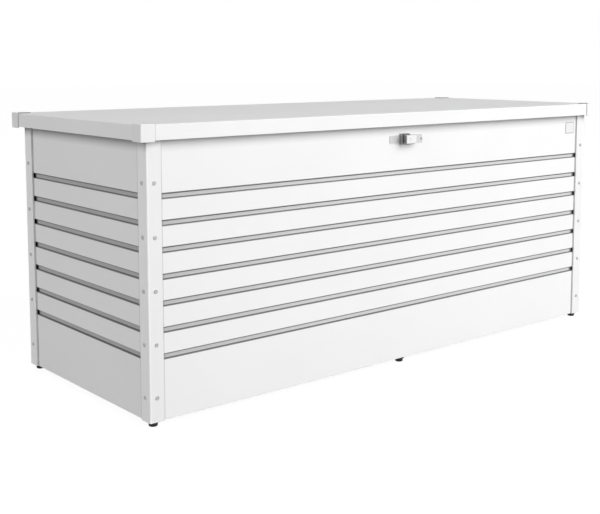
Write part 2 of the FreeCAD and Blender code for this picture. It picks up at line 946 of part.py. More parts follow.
leaf_x = s.hinge_width / 2
rim_inside = skin_rear - s.lid_sheet - pivot_y
wall_face = rear_y - s.panel_recess - pivot_y
for name, index in HINGES.items():
    hinge_x = index * hinge_pitch
    t = s.hinge_sheet
    r = s.knuckle_radius

    wall_leaf = new_body("hinge_wall_leaf_" + name, hinge_x, pivot_y, pivot_z)
    section = new_sketch(wall_leaf, "YZ_Plane")
    draw_outline(
        section,
        [
            (wall_face, -s.hinge_leaf_drop),
            (wall_face + t, -s.hinge_leaf_drop),
            (wall_face + t, -r),
            (0, -r),
            (0, t - r),
            (wall_face, t - r),
        ],
    )
    pad(wall_leaf, section, s.hinge_width, middle=True)
    knuckle = draw_circle(new_sketch(wall_leaf, "YZ_Plane"), 0, 0, r)
    pad(wall_leaf, knuckle, s.hinge_width, middle=True)
    gap = new_sketch(wall_leaf, "XY_Plane")
    half_gap = s.knuckle_width / 2 + s.knuckle_gap
    draw_rectangle(gap, -half_gap, -(r + s.flange_gap), half_gap, r + s.flange_gap)
    pocket(wall_leaf, gap, 4 * r, middle=True)
    bore = draw_circle(new_sketch(wall_leaf, "YZ_Plane"), 0, 0, s.pin_radius)
    pocket(wall_leaf, bore, s.hinge_width, middle=True)
    leaf_holes = new_sketch(wall_leaf, "XZ_Plane", -(wall_face + t / 2))
    for side in (-1, 1):
        draw_circle(
            leaf_holes,
            side * s.rivet_spread / 2,
            base_z + leaf_hole_height - pivot_z,
            s.rivet_radius + s.hole_gap,
        )
    pocket(wall_leaf, leaf_holes, 2 * t, middle=True)

    lid_leaf = new_body("hinge_lid_leaf_" + name, hinge_x, pivot_y, pivot_z)
    web = new_sketch(lid_leaf, "YZ_Plane")
    draw_outline(
        web,
        [
            (0, r - t),
            (rim_inside, r - t),
            (rim_inside, r),
            (0, r),
        ],
    )
    pad(lid_leaf, web, s.knuckle_width, middle=True)
    plate = new_sketch(lid_leaf, "YZ_Plane")
    draw_rectangle(plate, rim_inside - t, r - t, rim_inside, r - t + s.hinge_leaf_rise)
    pad(lid_leaf, plate, s.hinge_width, middle=True)
    knuckle = draw_circle(new_sketch(lid_leaf, "YZ_Plane"), 0, 0, r)
    pad(lid_leaf, knuckle, s.knuckle_width, middle=True)
    bore = draw_circle(new_sketch(lid_leaf, "YZ_Plane"), 0, 0, s.pin_radius + s.pin_fit)
    pocket(lid_leaf, bore, s.hinge_width, middle=True)

pin = new_body("hinge_pin_pattern", keep=False)
pin_sketch = draw_circle(new_sketch(pin, "YZ_Plane"), 0, 0, s.pin_radius)
pad(pin, pin_sketch, s.hinge_width, middle=True)
doc.recompute()
group(
    "hinge_pins",
    [
        placed(pin.Shape, index * hinge_pitch.value, pivot_y.value, pivot_z.value)
        for index in HINGES.values()
    ],
)

rivet = master(
    "rivet_pattern",
    [
        (0, -s.rivet_head_height),
        (s.rivet_head / 2, -s.rivet_head_height),
        (s.rivet_head, 0),
        (s.rivet_radius, 0),
        (s.rivet_radius, s.hinge_sheet + s.wall_sheet),
        (s.rivet_tail_radius, s.hinge_sheet + s.wall_sheet),
        (s.rivet_radius, s.hinge_sheet + s.wall_sheet + s.rivet_tail),
        (0, s.hinge_sheet + s.wall_sheet + s.rivet_tail),
    ],
)
half_turn = FreeCAD.Rotation(about_z, 180)
group(
    "hinge_rivets",
    [
        placed(
            rivet,
            index * hinge_pitch.value + side * s.rivet_spread.value / 2,
            (pivot_y + wall_face + s.hinge_sheet).value,
            (base_z + leaf_hole_height).value,
            half_turn,
        )
        for index in HINGES.values()
        for side in (-1, 1)
    ],
)


# Gas struts: a tube on the cabinet and a rod that carries the lid

foot_z = base_z + s.lowest_screw + s.strut_foot_pitches * s.groove_pitch
head_z = wall_top - s.strut_head_drop
strut_y = rear_y - s.strut_rear_inset
strut_foot = (strut_y, foot_z)
strut_head = (strut_y, head_z)
strut_dy = strut_head[0].value - strut_foot[0].value
strut_dz = strut_head[1].value - strut_foot[1].value
strut_length = math.hypot(strut_dy, strut_dz)
strut_lean = math.degrees(math.atan2(-strut_dy, strut_dz))
strut_x = side_x - s.strut_inset


def lean(body, x):
    body.Placement = FreeCAD.Placement(
        Vector(x.value, strut_foot[0].value, strut_foot[1].value),
        FreeCAD.Rotation(Vector(1, 0, 0), strut_lean),
    )


for side, sign in SIDES.items():
    place_x = sign * strut_x
    eye = s.strut_eye_radius
    tube = new_body("strut_tube_" + side, place_x, strut_foot[0], strut_foot[1])
    bore = s.strut_tube_radius - s.strut_tube_wall
    tube_end = strut_length - s.strut_neck - s.strut_end_gap
    gland_start = tube_end - s.strut_gland
    guide = s.strut_rod_radius + s.strut_fit
    tube_section = new_sketch(tube, "XZ_Plane")
    draw_outline(
        tube_section,
        [
            (0, s.strut_tube_start),
            (s.strut_tube_radius - s.strut_tube_edge, s.strut_tube_start),
            (s.strut_tube_radius, s.strut_tube_start + 2 * s.strut_tube_edge),
            (s.strut_tube_radius, tube_end - s.strut_tube_edge),
            (s.strut_tube_radius - s.strut_tube_edge, tube_end),
            (guide, tube_end),
            (guide, gland_start),
            (bore, gland_start),
            (bore, s.strut_tube_floor),
            (0, s.strut_tube_floor),
        ],
    )
    revolve(tube, tube_section, "Z_Axis")
    pad(tube, draw_circle(new_sketch(tube, "YZ_Plane"), 0, 0, eye), s.strut_eye_width, middle=True)
    eye_bore = draw_circle(new_sketch(tube, "YZ_Plane"), 0, 0, s.strut_pin_radius + s.strut_fit)
    pocket(tube, eye_bore, 2 * eye, middle=True)
    lean(tube, place_x)

    rod = new_body("strut_rod_" + side, place_x, strut_foot[0], strut_foot[1])
    rod_end = strut_length - eye.value / 2
    piston = s.strut_tube_floor + s.piston_gap
    rod_section = new_sketch(rod, "XZ_Plane")
    draw_outline(
        rod_section,
        [
            (0, piston),
            (bore - s.seat_gap, piston),
            (bore - s.seat_gap, piston + s.piston_length),
            (s.strut_rod_radius, piston + s.piston_length),
            (s.strut_rod_radius, rod_end),
            (0, rod_end),
        ],
    )
    revolve(rod, rod_section, "Z_Axis")
    lean(rod, place_x)

    socket = new_body("strut_rod_socket_" + side, place_x, strut_foot[0], strut_foot[1])
    socket_neck = new_sketch(socket, "XZ_Plane")
    neck = s.strut_rod_radius + s.strut_neck_wall
    draw_outline(
        socket_neck,
        [
            (guide, strut_length - s.strut_neck),
            (neck, strut_length - s.strut_neck),
            (neck, strut_length),
            (0, strut_length),
            (0, rod_end),
            (guide, rod_end),
        ],
    )
    revolve(socket, socket_neck, "Z_Axis")
    ball = draw_circle(new_sketch(socket, "YZ_Plane"), 0, strut_length, eye)
    pad(socket, ball, s.strut_eye_width, middle=True)
    rod_hole = draw_circle(new_sketch(socket, "XY_Plane", rod_end - 3 * eye.value), 0, 0, guide)
    pocket(socket, rod_hole, 3 * eye, reverse=True)
    lean(socket, place_x)

    eye_face = s.strut_eye_width / 2
    slat_inside = s.strut_inset - s.panel_recess - s.wall_sheet
    bracket = new_body("strut_bracket_" + side, place_x, strut_foot[0], strut_foot[1])
    t = s.bracket_sheet
    half_hat = s.bracket_hat / 2
    half_foot = s.bracket_width / 2
    hat_top = slat_inside - s.strut_eye_width - s.bracket_sheet
    hat = new_sketch(bracket, "XY_Plane")
    draw_outline(
        hat,
        [
            (sign * slat_inside, -half_foot),
            (sign * slat_inside, t - half_hat),
            (sign * (slat_inside - hat_top + t), t - half_hat),
            (sign * (slat_inside - hat_top + t), half_hat - t),
            (sign * slat_inside, half_hat - t),
            (sign * slat_inside, half_foot),
            (sign * (slat_inside - t), half_foot),
            (sign * (slat_inside - t), half_hat),
            (sign * (slat_inside - hat_top), half_hat),
            (sign * (slat_inside - hat_top), -half_hat),
            (sign * (slat_inside - t), -half_hat),
            (sign * (slat_inside - t), -half_foot),
        ],
    )
    pad(bracket, hat, s.bracket_height, middle=True)
    pin_length = s.strut_eye_width + 2 * t
    pin_start = slat_inside - hat_top + t / 2
    pin_plane = new_sketch(bracket, "YZ_Plane", sign * pin_start)
    draw_circle(pin_plane, 0, 0, s.strut_pin_radius)
    pad(bracket, pin_plane, pin_start + eye_face + 2 * t, reverse=sign > 0)
    clip_plane = new_sketch(bracket, "YZ_Plane", -sign * (eye_face + s.seat_gap))
    draw_circle(clip_plane, 0, 0, s.strut_pin_radius + s.strut_clip_rim)
    pad(bracket, clip_plane, t, reverse=sign > 0)

    hanger = new_body("strut_hanger_" + side, place_x, strut_head[0], strut_head[1])
    hanger_face = s.strut_inset - rail_inner
    up = lid_under - strut_head[1]
    plate = new_sketch(hanger, "YZ_Plane", sign * (hanger_face - t))
    draw_outline(
        plate,
        [
            (-half_foot, up),
            (-half_foot, up - s.rail_height),
            (-eye, -eye),
            (eye, -eye),
            (half_foot, up - s.rail_height),
            (half_foot, up),
        ],
    )
    pad(hanger, plate, t, reverse=sign < 0)
    stud_plane = new_sketch(hanger, "YZ_Plane", sign * (hanger_face - t / 2))
    draw_circle(stud_plane, 0, 0, s.strut_pin_radius)
    stud_length = hanger_face - t / 2 - eye_face - s.seat_gap
    pad(hanger, stud_plane, stud_length, reverse=sign > 0)


# Twist handle lock in the front panel; its own plane y = 0 is the panel's outer face

def lock_body(label):
    return new_body(label, s.lock_x, slat_y, lock_z)


front = s.lock_reach + s.panel_recess
collar_front = s.collar_reach
handle_back = collar_front + s.handle_gap
t = s.escutcheon_sheet
half_long = s.escutcheon_length / 2
half_high = s.escutcheon_height / 2

escutcheon = lock_body("lock_escutcheon")
plate = draw_rectangle(new_sketch(escutcheon, "XZ_Plane"), -half_long, -half_high, half_long, half_high)
draw_circle(plate, 0, 0, s.barrel_radius + s.hole_gap)
pad(escutcheon, plate, t)
round_edges(
    escutcheon,
    s.escutcheon_corner,
    lambda edge: runs_along(edge, 1) and abs(middle_of(edge).x) > half_long.value - 0.01,
)

housing = lock_body("lock_housing")
half_collar = s.collar_width / 2
collar = draw_rectangle(
    new_sketch(housing, "XZ_Plane", t), -half_collar, -half_collar, half_collar, half_collar
)
pad(housing, collar, collar_front - t)
round_edges(housing, s.collar_corner, lambda edge: runs_along(edge, 1))
round_edges(
    housing,
    s.collar_edge,
    lambda edge: near(edge.BoundBox.YMin, -collar_front) and near(edge.BoundBox.YMax, -collar_front),
)
barrel = draw_circle(new_sketch(housing, "XZ_Plane", t), 0, 0, s.barrel_radius)
pad(housing, barrel, t + s.barrel_length, reverse=True)
shaft_bore = draw_circle(
    new_sketch(housing, "XZ_Plane", collar_front), 0, 0, s.spindle_radius + s.spindle_fit
)
pocket(housing, shaft_bore, collar_front + s.barrel_length)

lock_nut = lock_body("lock_nut")
nut_plane = new_sketch(lock_nut, "XZ_Plane", -(s.wall_sheet + s.lock_nut_height))
hexagon(nut_plane, s.lock_nut_radius)
draw_circle(nut_plane, 0, 0, s.barrel_radius + s.lip_gap)
pad(lock_nut, nut_plane, s.lock_nut_height)

handle = lock_body("lock_handle")
lever_back = front - s.lever_thickness
neck = draw_circle(new_sketch(handle, "XZ_Plane", handle_back), 0, 0, s.neck_radius)
pad(handle, neck, lever_back - handle_back)
half_lever = s.lever_height / 2
lever = draw_rectangle(
    new_sketch(handle, "XZ_Plane", lever_back),
    -s.lever_heel,
    -half_lever,
    s.lever_length,
    half_lever,
)
pad(handle, lever, s.lever_thickness)
slope = new_sketch(handle, "XY_Plane")
slope_start = s.lever_length - s.thumb_slope_length
draw_outline(
    slope,
    [
        (slope_start, -front),
        (s.lever_length + s.cut_margin, s.thumb_slope_depth - front),
        (s.lever_length + s.cut_margin, -(front + s.cut_margin)),
        (slope_start, -(front + s.cut_margin)),
    ],
)
pocket(handle, slope, 2 * s.lever_height, middle=True)
round_edges(
    handle,
    s.lever_corner,
    lambda edge: runs_along(edge, 1)
    and (near(middle_of(edge).x, s.lever_length) or near(middle_of(edge).x, -s.lever_heel)),
)
round_edges(
    handle,
    s.lever_edge,
    lambda edge: near(edge.BoundBox.YMin, -front) and near(edge.BoundBox.YMax, -front)
    and abs(middle_of(edge).z) > half_lever.value - 0.01,
)
plug_bore = draw_circle(new_sketch(handle, "XZ_Plane", front), 0, 0, s.plug_radius + s.plug_fit)
pocket(handle, plug_bore, s.plug_length + s.seat_gap)
dimple = draw_circle(new_sketch(handle, "XZ_Plane", front), s.dimple_place, 0, s.dimple_radius)
pocket(handle, dimple, s.thumb_slope_depth / 2 + s.dimple_depth)

key_plug = lock_body("lock_key_plug")
pad(
    key_plug,
    draw_circle(new_sketch(key_plug, "XZ_Plane", front - s.plug_length), 0, 0, s.plug_radius),
    s.plug_length,
)
slot = new_sketch(key_plug, "XZ_Plane", front)
draw_rectangle(
    slot,
    -s.key_slot_width / 2,
    -s.key_slot_height / 2,
    s.key_slot_width / 2,
    s.key_slot_height / 2,
)
pocket(key_plug, slot, s.key_slot_depth)

spindle = lock_body("lock_spindle")
cam_near = s.cam_place - s.panel_recess
spindle_plane = draw_circle(new_sketch(spindle, "XZ_Plane", -cam_near), 0, 0, s.spindle_radius)
pad(spindle, spindle_plane, cam_near + handle_back)

cam = lock_body("lock_cam")
cam_plane = -(cam_near + s.cam_sheet)
arm = new_sketch(cam, "XZ_Plane", cam_plane)
half_cam = s.cam_width / 2
draw_outline(
    arm,
    [
        (half_cam, -half_cam),
        (half_cam, half_cam),
        (-(s.cam_hook_inner + s.cut_margin), half_cam),
        (-(s.cam_hook_inner + s.cut_margin), -half_cam),
    ],
)
pad(cam, arm, s.cam_sheet)
hook = new_sketch(cam, "XZ_Plane", cam_plane)
hook_start = math.radians(180 + s.cam_hook_heel.value)
hook_end = math.radians(180) - math.radians(s.cam_hook_angle.value)


def polar(radius, angle):
    return Vector(radius * math.cos(angle), radius * math.sin(angle), 0)


inner, outer = s.cam_hook_inner.value, s.cam_reach.value
middle_angle = (hook_end + hook_start) / 2
hook.addGeometry(Part.Arc(polar(inner, hook_end), polar(inner, middle_angle), polar(inner, hook_start)))
hook.addGeometry(Part.LineSegment(polar(inner, hook_start), polar(outer, hook_start)))
hook.addGeometry(Part.Arc(polar(outer, hook_start), polar(outer, middle_angle), polar(outer, hook_end)))
hook.addGeometry(Part.LineSegment(polar(outer, hook_end), polar(inner, hook_end)))
pad(cam, hook, s.cam_sheet)
cam_hole = draw_circle(new_sketch(cam, "XZ_Plane", -cam_near), 0, 0, hole_radius)
pocket(cam, cam_hole, 2 * s.cam_sheet)

cam_screw = lock_body("lock_cam_screw")
screw_plane = new_sketch(cam_screw, "XY_Plane")
draw_outline(
    screw_plane,
    [
        (0, cam_near),
        (s.screw_shank, cam_near),
        (s.screw_shank, cam_near + s.cam_sheet),
        (s.screw_head, cam_near + s.cam_sheet),
        (s.screw_head, cam_near + s.cam_sheet + s.screw_head_height / 2),
        (s.screw_head - s.screw_head_height / 2, cam_near + s.cam_sheet + s.screw_head_height),
        (0, cam_near + s.cam_sheet + s.screw_head_height),
    ],
)
revolve(cam_screw, screw_plane, "Y_Axis")

# Keeper: a hooked strip on the lid's front rail, which the cam turns over
keeper_x = s.lock_x + (s.keeper_near + s.keeper_far) / 2
keeper = new_body("lock_keeper", keeper_x, front_y, 0)
near_y = rail_inner
far_y = near_y + s.keeper_sheet
foot_bottom = lock_z + s.keeper_foot_rise
keeper_section = new_sketch(keeper, "YZ_Plane")
draw_outline(
    keeper_section,
    [
        (near_y, lid_under),
        (near_y, foot_bottom + s.keeper_sheet),
        (far_y - s.keeper_foot, foot_bottom + s.keeper_sheet),
        (far_y - s.keeper_foot, foot_bottom),
        (far_y, foot_bottom),
        (far_y, lid_under),
    ],
)
pad(keeper, keeper_section, s.keeper_far - s.keeper_near, middle=True)


# Check every object and write each sub-part

doc.recompute()
for thing in doc.Objects:
    if "Invalid" in thing.State or "Error" in thing.State:
        raise RuntimeError(f"{thing.Label} did not build: {thing.State}")
os.makedirs("parts", exist_ok=True)
for sub_part in sub_parts:
    shape = sub_part.Shape
    if shape.isNull() or not shape.isValid() or not shape.Solids:
        raise RuntimeError(f"{sub_part.Label} has no valid solid")
    solids = shape.Solids
    whole = solids[0] if len(solids) == 1 else Part.makeCompound(solids)
    whole.exportStep(f"parts/{sub_part.Label}.step")
print(len(sub_parts), "sub-parts")
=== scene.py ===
import json
import math

import bpy
import bmesh
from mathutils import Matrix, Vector


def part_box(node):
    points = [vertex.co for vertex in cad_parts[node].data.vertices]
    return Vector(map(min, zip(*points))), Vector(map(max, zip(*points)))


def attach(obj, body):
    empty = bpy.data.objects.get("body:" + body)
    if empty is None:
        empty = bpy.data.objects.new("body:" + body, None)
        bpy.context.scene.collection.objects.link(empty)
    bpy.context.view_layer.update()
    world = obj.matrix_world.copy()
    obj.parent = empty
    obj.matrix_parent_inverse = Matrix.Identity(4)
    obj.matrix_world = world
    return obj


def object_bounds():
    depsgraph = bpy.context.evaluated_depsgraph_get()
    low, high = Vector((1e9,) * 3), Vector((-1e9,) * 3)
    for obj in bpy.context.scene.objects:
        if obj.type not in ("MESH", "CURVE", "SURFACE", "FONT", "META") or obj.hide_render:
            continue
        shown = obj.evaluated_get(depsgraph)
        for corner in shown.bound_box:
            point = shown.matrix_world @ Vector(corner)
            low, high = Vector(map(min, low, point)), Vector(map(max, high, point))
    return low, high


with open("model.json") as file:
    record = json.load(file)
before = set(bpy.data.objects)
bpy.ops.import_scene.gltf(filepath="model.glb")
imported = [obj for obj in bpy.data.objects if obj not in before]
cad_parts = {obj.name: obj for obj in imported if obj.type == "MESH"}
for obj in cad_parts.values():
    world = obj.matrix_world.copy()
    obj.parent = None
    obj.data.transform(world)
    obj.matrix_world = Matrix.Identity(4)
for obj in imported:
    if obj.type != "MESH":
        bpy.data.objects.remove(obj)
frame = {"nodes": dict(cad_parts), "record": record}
cad_box = [list(corner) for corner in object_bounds()]

post_low, post_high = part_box("post_front_left")
lid_low, lid_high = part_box("lid_skin")
cap_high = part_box("lid_cap_front_left")[1]
plug_low, plug_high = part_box("lock_key_plug")
panel_front_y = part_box("front_panel")[0].y
panel_rear_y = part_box("rear_panel")[1].y
panel_side_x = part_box("right_panel")[1].x


# Camera, solved from the box's straight edges in the photograph

IMAGE_WIDTH = 600
IMAGE_HEIGHT = 514
SENSOR_WIDTH = 36.0
FOCAL_PIXELS = 1030.0
PRINCIPAL_X = 307.5
PRINCIPAL_Y = 166.5
CAMERA_FROM_POST = Vector((-1.410, -2.346, 0.987))
CAMERA_YAW = 39.96
CAMERA_PITCH = 6.0
VIEW_DEPTH = 60.0

camera_data = bpy.data.cameras.new("photo_camera")
camera_data.sensor_width = SENSOR_WIDTH
camera_data.lens = FOCAL_PIXELS * SENSOR_WIDTH / IMAGE_WIDTH
camera_data.shift_x = (IMAGE_WIDTH / 2 - PRINCIPAL_X) / IMAGE_WIDTH
camera_data.shift_y = (PRINCIPAL_Y - IMAGE_HEIGHT / 2) / IMAGE_WIDTH
camera_data.clip_end = VIEW_DEPTH
camera = bpy.data.objects.new("photo_camera", camera_data)
camera.location = post_low + CAMERA_FROM_POST
camera.rotation_euler = (math.radians(90 - CAMERA_PITCH), 0, math.radians(-CAMERA_YAW))
bpy.context.scene.collection.objects.link(camera)
bpy.context.scene.camera = camera
bpy.context.scene.view_settings.view_transform = "Standard"


# Shader maths: a socket that can be added, multiplied and so on

class Wire:
    """A socket of a material's node tree, or of the world's."""

    def __init__(self, tree, socket):
        self.tree = tree
        self.socket = socket

    def calculated(self, operation, *others):
        """The wire that comes out of a Math node, with this wire in its first socket."""
        return make_node(self.tree, "Math", 0, {"operation": operation}, dict(enumerate([self, *others])))

    def __add__(self, other):
        return self.calculated("ADD", other)

    def __sub__(self, other):
        return self.calculated("SUBTRACT", other)

    def __rsub__(self, other):
        return make_node(self.tree, "Math", 0, {"operation": "SUBTRACT"}, {0: other, 1: self})

    def __mul__(self, other):
        return self.calculated("MULTIPLY", other)

    def __pow__(self, other):
        return self.calculated("POWER", other)

    __radd__ = __add__
    __rmul__ = __mul__

    def above(self, limit):
        """1 where the value is above the limit, and 0 elsewhere."""
        return self.calculated("GREATER_THAN", limit)

    def smallest(self, other):
        return self.calculated("MINIMUM", other)

    def largest(self, other):
        return self.calculated("MAXIMUM", other)

    def size(self):
        """The value without its sign."""
        return self.calculated("ABSOLUTE")

    def from_nearest(self, pitch):
        """Distance from the nearest multiple of the pitch."""
        return self.calculated("PINGPONG", pitch / 2)

    def between(self, low, high, to_low=0.0, to_high=1.0):
        """Maps low..high onto to_low..to_high, held at the ends."""
        ends = {"From Min": low, "From Max": high, "To Min": to_low, "To Max": to_high}
        return make_node(self.tree, "MapRange", 0, None, {"Value": self, **ends})


def fill(tree, socket, value):
    """Links a wire to a socket, or sets the socket's own number, vector or colour."""
    if isinstance(value, Wire):
        tree.links.new(value.socket, socket)
    elif socket.type == "RGBA":
        socket.default_value = (*value, 1.0)
    else:
        socket.default_value = value


def make_node(tree, kind, output=0, settings=None, sockets=None):
    """Any shader node: its settings, its sockets by name or place, and the output that is used."""
    node = tree.nodes.new("ShaderNode" + kind)
    for name, value in (settings or {}).items():
        setattr(node, name, value)
    for name, value in (sockets or {}).items():
        fill(tree, node.inputs[name], value)
    return Wire(tree, node.outputs[output])


class Finish:
    """A material being made: where a point is and faces, its noises, and the surface it ends in."""

    def __init__(self, name):
        self.material = bpy.data.materials.new(name)
        self.material.use_nodes = True
        self.tree = self.material.node_tree
        self.surface = self.tree.nodes["Principled BSDF"]
        self.place = self.node("TexCoord", "Object")
        self.x, self.y, self.z = self.split(self.place)
        self.normal_x, self.normal_y, self.normal_z = self.split(self.node("TexCoord", "Normal"))

    def node(self, kind, output=0, settings=None, sockets=None):
        return make_node(self.tree, kind, output, settings, sockets)

    def split(self, vector):
        """The three parts of a vector."""
        parts = self.node("SeparateXYZ", 0, None, {"Vector": vector}).socket.node.outputs
        return [Wire(self.tree, socket) for socket in parts]

    def noise(self, scale, detail, roughness=0.5, stretch=None):
        """Cloudy noise from 0 to 1, drawn out along the axis where the stretch is small."""
        where = self.place
        if stretch:
            where = self.node("Mapping", 0, None, {"Vector": self.place, "Scale": stretch})
        grain = {"Scale": scale, "Detail": detail, "Roughness": roughness}
        return self.node("TexNoise", 0, None, {"Vector": where, **grain})

    def blend(self, factor, low, high):
        """A colour between low and high. The node's colours are its sockets 6 and 7 and output 2."""
        return self.node("Mix", 2, {"data_type": "RGBA"}, {0: factor, 6: low, 7: high})

    def edges(self, radius):
        """0 on flats and towards 1 where the surface turns over an edge."""
        turned = self.node("Bevel", 0, {"samples": 4}, {"Radius": radius})
        straight = self.node("NewGeometry", "Normal")
        both = {0: turned, 1: straight}
        return 1.0 - self.node("VectorMath", "Value", {"operation": "DOT_PRODUCT"}, both)

    def set(self, **sockets):
        """Fills sockets of the surface, whose names are written with _ for a blank."""
        for name, value in sockets.items():
            fill(self.tree, self.surface.inputs[name.replace("_", " ")], value)

    def bump(self, height, distance):
        self.set(Normal=self.node("Bump", 0, None, {"Height": height, "Distance": distance}))


def grey(value):
    """A grey colour, in linear light."""
    return (value, value, value)


BLACK = grey(0.0)


# Shades, where 0 leaves the paint as it is and 1 is black; on the walls, posts, lid, caps and lock they
# are painted shade. Lengths are in metres

TURN_START = 0.4
TURN_END = 0.6
UNDER_LID_REACH = 0.036
LONG_UNDER_LID_SHADE = 0.3
SIDE_UNDER_LID_SHADE = 0.4


def on_side(finish, long_value=0.0, side_value=1.0):
    """One value on faces that look to the front or rear, and another on those that look sideways."""
    return finish.normal_x.size().between(TURN_START, TURN_END, long_value, side_value)


def painted_shade_under_lid(finish):
    """Soft painted shade on the walls under the lid's rim, darkest at the rim."""
    near_rim = finish.z.between(lid_low.z - UNDER_LID_REACH, lid_low.z)
    return on_side(finish, LONG_UNDER_LID_SHADE, SIDE_UNDER_LID_SHADE) * near_rim


def past_corners(finish, edge_x, edge_y, middle_y):
    """Distance from the post or cap at the nearest corner, along a wall or a rim."""
    along_x = edge_x - finish.x.size()
    along_y = edge_y - (finish.y - middle_y).size()
    return along_x.largest(along_y)


# The walls' grooves and joints, with painted shade in and round the grooves and beside the posts

GROOVE_LIP = 0.0015
GROOVE_FLOOR = 0.0065
LOWEST_GROOVE = 0.19285
GROOVE_PITCH = 0.0735
GROOVE_COUNT = 7
LEFT_FLOOR_SHADE = 0.38
LONG_FLOOR_SHADE = 0.26
FLOOR_FADE = 0.6
SIDE_FLOOR_SHADE = 0.46
LINE_DOWN = 0.0008
LINE_START = 0.0038
LINE_FULL = 0.0052
LINE_SHADE = 0.8
OUTLINE_START = 0.0066
OUTLINE_END = 0.0094
OUTLINE_BLUR = 0.0010
OUTLINE_DEPTH = 0.0006
OUTLINE_SHADE = 0.66
END_START = -0.001
END_REACH = 0.024
END_SHADE = 0.95
LONG_JOINT_END = 0.0058
SIDE_JOINT_FRONT_END = 0.0112
SIDE_JOINT_REAR_END = 0.0056
JOINT_BLUR = 0.0016
JOINT_SHADE = 0.38
panel_middle_y = (panel_front_y + panel_rear_y) / 2
panel_half_y = (panel_rear_y - panel_front_y) / 2


def painted_shade_in_grooves(finish, from_post):
    """Painted shade on the floor of a groove, darker along both edges, at both ends and towards the box's
    left end.
    """
    level = (finish.z - (LOWEST_GROOVE - LINE_DOWN)).from_nearest(GROOVE_PITCH)
    line = level.between(LINE_START, LINE_FULL, 0.0, LINE_SHADE)
    fade_end = post_high.x + FLOOR_FADE
    long_floor = finish.x.between(post_high.x, fade_end, LEFT_FLOOR_SHADE, LONG_FLOOR_SHADE)
    floor = on_side(finish, long_floor, SIDE_FLOOR_SHADE)
    end = from_post.between(END_START, END_REACH, END_SHADE, 0.0)
    return line.largest(floor).largest(end)


def painted_shade_round_grooves(finish, behind):
    """A painted shade line on the flat of the wall, just above and just below each groove."""
    level = (finish.z - LOWEST_GROOVE).from_nearest(GROOVE_PITCH)
    inner = level.between(OUTLINE_START - OUTLINE_BLUR, OUTLINE_START, 0.0, OUTLINE_SHADE)
    outer = level.between(OUTLINE_END - OUTLINE_BLUR, OUTLINE_END, OUTLINE_SHADE, 0.0)
    grooves_half = GROOVE_COUNT * GROOVE_PITCH / 2
    grooves_centre = LOWEST_GROOVE - GROOVE_PITCH / 2 + grooves_half
    among_grooves = (grooves_half - (finish.z - grooves_centre).size()).above(0.0)
    on_flat = behind.between(OUTLINE_DEPTH, 2 * OUTLINE_DEPTH, 1.0, 0.0)
    return inner.smallest(outer) * among_grooves * on_flat


def joint_line_and_painted_shade(finish, from_post):
    """A dark joint line with painted shade on the wall beside each post, wider towards the front on the
    sides.
    """
    side_end = finish.y.between(panel_front_y, panel_rear_y, SIDE_JOINT_FRONT_END, SIDE_JOINT_REAR_END)
    joint_end = on_side(finish) * (side_end - LONG_JOINT_END) + LONG_JOINT_END
    return (joint_end - from_post).between(0.0, JOINT_BLUR, 0.0, JOINT_SHADE)


def wall_painted_shade(finish):
    """Painted shade on the groove floors and round the grooves, dark joint lines with painted shade
    beside the posts, and painted shade under the lid.
    """
    behind_long = panel_half_y - (finish.y - panel_middle_y).size()
    behind_side = panel_side_x - finish.x.size()
    behind = behind_long.smallest(behind_side)
    from_post = past_corners(finish, -post_high.x, panel_middle_y - post_high.y, panel_middle_y)
    inside = behind.between(GROOVE_LIP, GROOVE_FLOOR) * painted_shade_in_grooves(finish, from_post)
    on_flat = joint_line_and_painted_shade(finish, from_post).largest(painted_shade_round_grooves(finish, behind))
    return inside.largest(on_flat).largest(painted_shade_under_lid(finish))


# The posts, the lid and its corner caps, with painted highlight and shade

POST_FLAT_SHADE = 0.11
POST_SIDE_SHADE = 0.03
POST_PAINTED_HIGHLIGHT_WIDTH = 0.0045
POST_PAINTED_HIGHLIGHT_BLUR = 0.001
POST_TURN_START = 0.3
POST_TURN_END = 0.5
SEAM_START = 0.0032
SEAM_END = 0.0046
SEAM_SHADE = 0.25
CAP_SHELL = 0.0003
CAP_INSIDE_FULL = -0.3
CAP_INSIDE_NONE = -0.1
CAP_INSIDE_SHADE = 0.9
lid_middle_y = (lid_low.y + lid_high.y) / 2
lid_half_y = (lid_high.y - lid_low.y) / 2


def post_painted_highlight_and_shade(finish):
    """Painted highlight on a strip at a post's bend, with its front and rear faces painted darker beside
    it, its side faces a little darker, and painted shade under the lid.
    """
    from_bend = finish.x.size() + post_low.x + POST_PAINTED_HIGHLIGHT_WIDTH
    flat = from_bend.between(0.0, -POST_PAINTED_HIGHLIGHT_BLUR, 0.0, POST_FLAT_SHADE)
    side = finish.normal_y.size().between(POST_TURN_START, POST_TURN_END, POST_SIDE_SHADE, 0.0)
    return flat.largest(side).largest(painted_shade_under_lid(finish))


def lid_seam_and_painted_shade(finish):
    """A thin dark seam line with painted shade beside the corner caps."""
    from_cap = past_corners(finish, -cap_high.x, lid_middle_y - cap_high.y, lid_middle_y)
    return from_cap.between(SEAM_START, SEAM_END, SEAM_SHADE, 0.0)


def cap_painted_shade(finish):
    """Painted shade inside a cap's shell and on the inner edges of its top plate."""
    outward = (finish.x * finish.normal_x).smallest(finish.y * finish.normal_y)
    inside = outward.between(CAP_INSIDE_FULL, CAP_INSIDE_NONE, CAP_INSIDE_SHADE, 0.0)
    within_x = (lid_high.x + CAP_SHELL - finish.x.size()).above(0.0)
    within_y = (lid_half_y + CAP_SHELL - (finish.y - lid_middle_y).size()).above(0.0)
    return inside * within_x * within_y


# The lock's lever and collar, with painted reflection and shade

